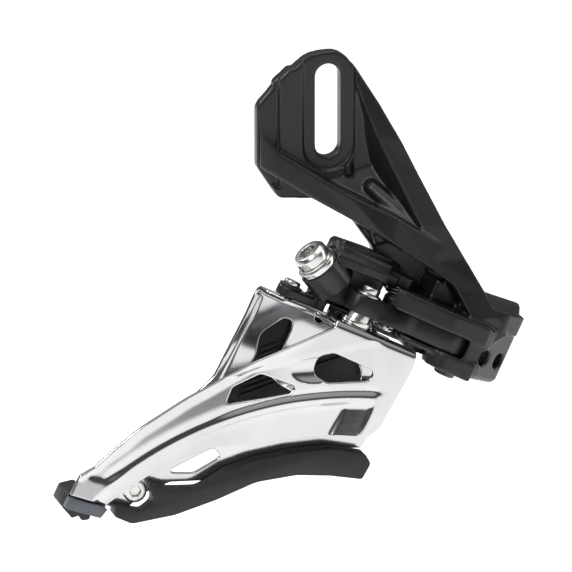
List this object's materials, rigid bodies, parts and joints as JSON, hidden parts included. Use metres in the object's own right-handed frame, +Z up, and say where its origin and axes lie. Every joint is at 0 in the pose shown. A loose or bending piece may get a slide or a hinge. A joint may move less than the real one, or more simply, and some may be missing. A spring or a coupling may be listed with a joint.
{
  "type": "front derailleur",
  "caption": "Side-swing bicycle front derailleur: slotted direct-mount bracket, parallelogram links, sprung chain cage with skid plate, cable clamp and limit screws.",
  "frame": {"origin": "on the seat face of the bracket, centred under the lower end of its slot", "axes": "+X forward on the bicycle, +Y inboard towards the frame, +Z up along the slot"},
  "size_m": [0.1137, 0.0334, 0.109],
  "materials": {
    "black_metal": "satin black paint over cast and forged aluminium",
    "chrome": "bright plated steel sheet",
    "steel": "turned and plated steel",
    "black_plastic": "moulded black plastic",
    "grey_plastic": "moulded slate grey plastic"
  },
  "bodies": {
    "base": {"bracket_housing": "black_metal", "housing_pin_outer": "steel", "housing_pin_inner": "steel", "cable_stop_liner": "black_plastic", "return_spring": "steel"},
    "low_screw": {"limit_screw_low": "steel"},
    "high_screw": {"limit_screw_high": "steel"},
    "outer_arm": {"outer_link": "black_metal", "outer_link_bush_rear": "steel", "outer_link_bush_front": "steel"},
    "inner_arm": {"inner_link": "black_metal", "cable_clamp_plate": "steel"},
    "clamp_bolt": {"cable_bolt": "steel", "cable_washer": "steel"},
    "cage": {"cage_outer_plate": "chrome", "cage_inner_plate": "chrome", "cage_pin_outer": "steel", "cage_washer_upper": "steel", "cage_washer_lower": "steel", "cage_pin_inner": "steel", "cage_pin_clip": "black_metal", "flange_rivet_1": "steel", "flange_rivet_2": "steel", "tail_block": "black_plastic", "tail_tip": "grey_plastic", "tail_bolt": "steel", "tail_nut": "steel", "skid_plate": "black_plastic", "cage_backing": "black_plastic", "flange_stop": "black_plastic"}
  },
  "joints": [
    {"name": "outer_link_swing", "type": "hinge", "parent": "base", "child": "outer_arm", "pos_m": [0.02583, -0.0279, -0.03943], "axis": [0.4226, 0, 0.9063], "range_deg": [0, 28], "stiffness_Nm_per_rad": 0.4, "springref_deg": -28.65},
    {"name": "inner_link_swing", "type": "hinge", "parent": "base", "child": "inner_arm", "pos_m": [0.01151, -0.0189, -0.03275], "axis": [0.4226, 0, 0.9063], "range_deg": [0, 28], "deforming": ["return_spring"]},
    {"name": "cage_swing", "type": "hinge", "parent": "outer_arm", "child": "cage", "pos_m": [0.00399, -0.024, -0.02924], "axis": [0.4226, 0, 0.9063], "range_deg": [-28, 0]},
    {"name": "low_limit_turn", "type": "hinge", "parent": "base", "child": "low_screw", "pos_m": [0.0306, -0.0307, -0.04198], "axis": [0.697, -0.6392, -0.325], "range_deg": [-360, 360]},
    {"name": "high_limit_turn", "type": "hinge", "parent": "base", "child": "high_screw", "pos_m": [0.03495, -0.0259, -0.04401], "axis": [0.697, -0.6392, -0.325], "range_deg": [-360, 360]},
    {"name": "clamp_bolt_lift", "type": "slide", "parent": "inner_arm", "child": "clamp_bolt", "axis": [-0.6089, -0.0898, 0.7881], "range_m": [0, 0.0015]}
  ],
  "couplings": [
    {"joint": "inner_link_swing", "follows": "outer_link_swing", "ratio": 1},
    {"joint": "cage_swing", "follows": "outer_link_swing", "ratio": -1}
  ]
}
